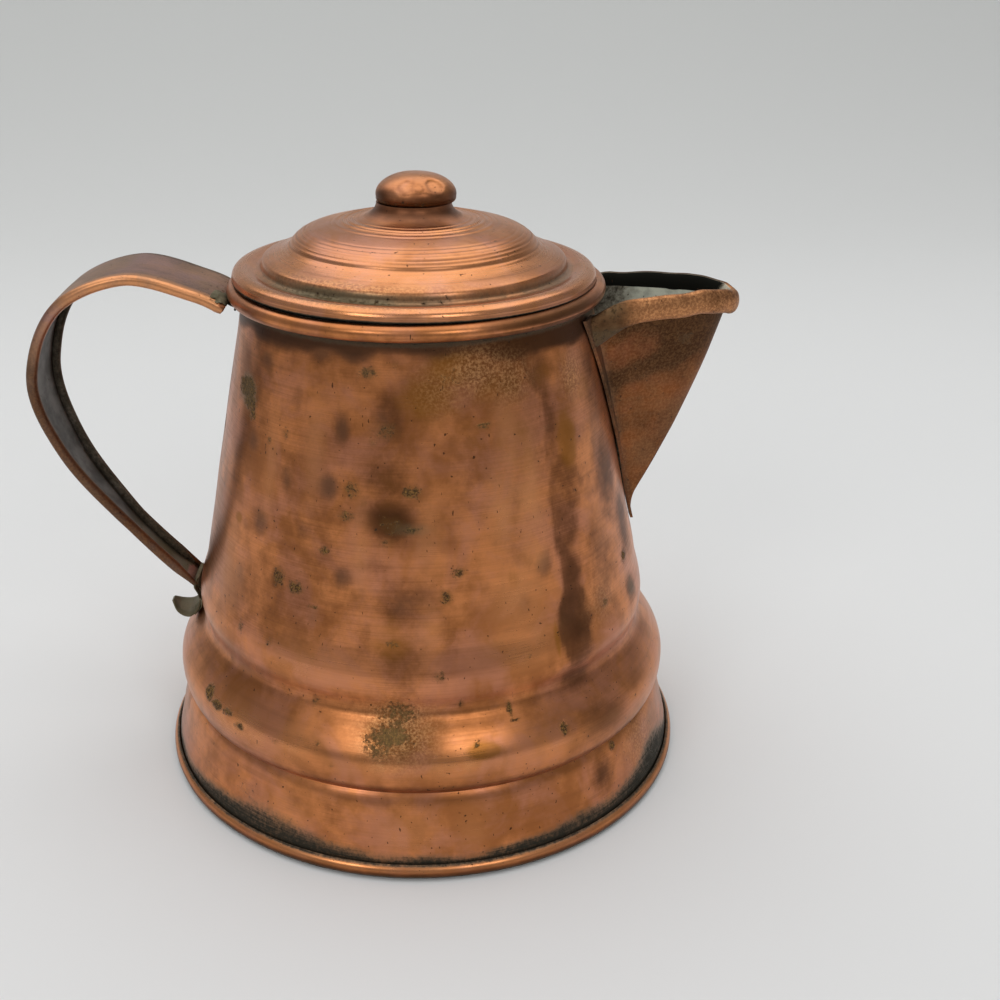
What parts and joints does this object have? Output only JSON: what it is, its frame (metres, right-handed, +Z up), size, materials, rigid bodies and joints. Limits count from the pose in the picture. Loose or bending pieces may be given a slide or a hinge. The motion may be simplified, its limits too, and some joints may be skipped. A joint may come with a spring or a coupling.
{
  "type": "copper teapot",
  "caption": "Small flared copper teapot with a bulged foot, V-shaped spout, wired strap handle and loose domed lid with a round knob.",
  "frame": {"origin": "middle of the flat bottom, on the surface that the pot stands on", "axes": "+Z up along the pot's turned axis, +X towards the spout's tip, the handle on -X"},
  "size_m": [0.1248, 0.0992, 0.108],
  "materials": {
    "copper_body": "worn copper, brushed round, with brown and green stains",
    "copper_dull": "dull brown oxidised copper",
    "tin": "old dull tinning and soft solder",
    "iron_wire": "plain drawn wire"
  },
  "bodies": {
    "pot": {"body_shell": "copper_body", "bottom_disc": "copper_body", "bottom_solder": "tin", "rim_wire": "iron_wire", "spout_shell": "copper_dull", "spout_lip_wire": "iron_wire", "spout_solder_near": "tin", "spout_solder_far": "tin", "handle_strap": "copper_dull", "handle_wire_near": "iron_wire", "handle_wire_far": "iron_wire", "handle_top_solder": "tin", "handle_bottom_solder": "tin"},
    "lid": {"lid_crown": "copper_body", "lid_collar": "tin", "lid_collar_solder": "tin", "lid_knob": "copper_body", "knob_solder": "tin"}
  },
  "joints": [
    {"name": "lid_lift", "type": "slide", "parent": "pot", "child": "lid", "axis": [0, 0, 1], "range_m": [0, 0.035]}
  ]
}
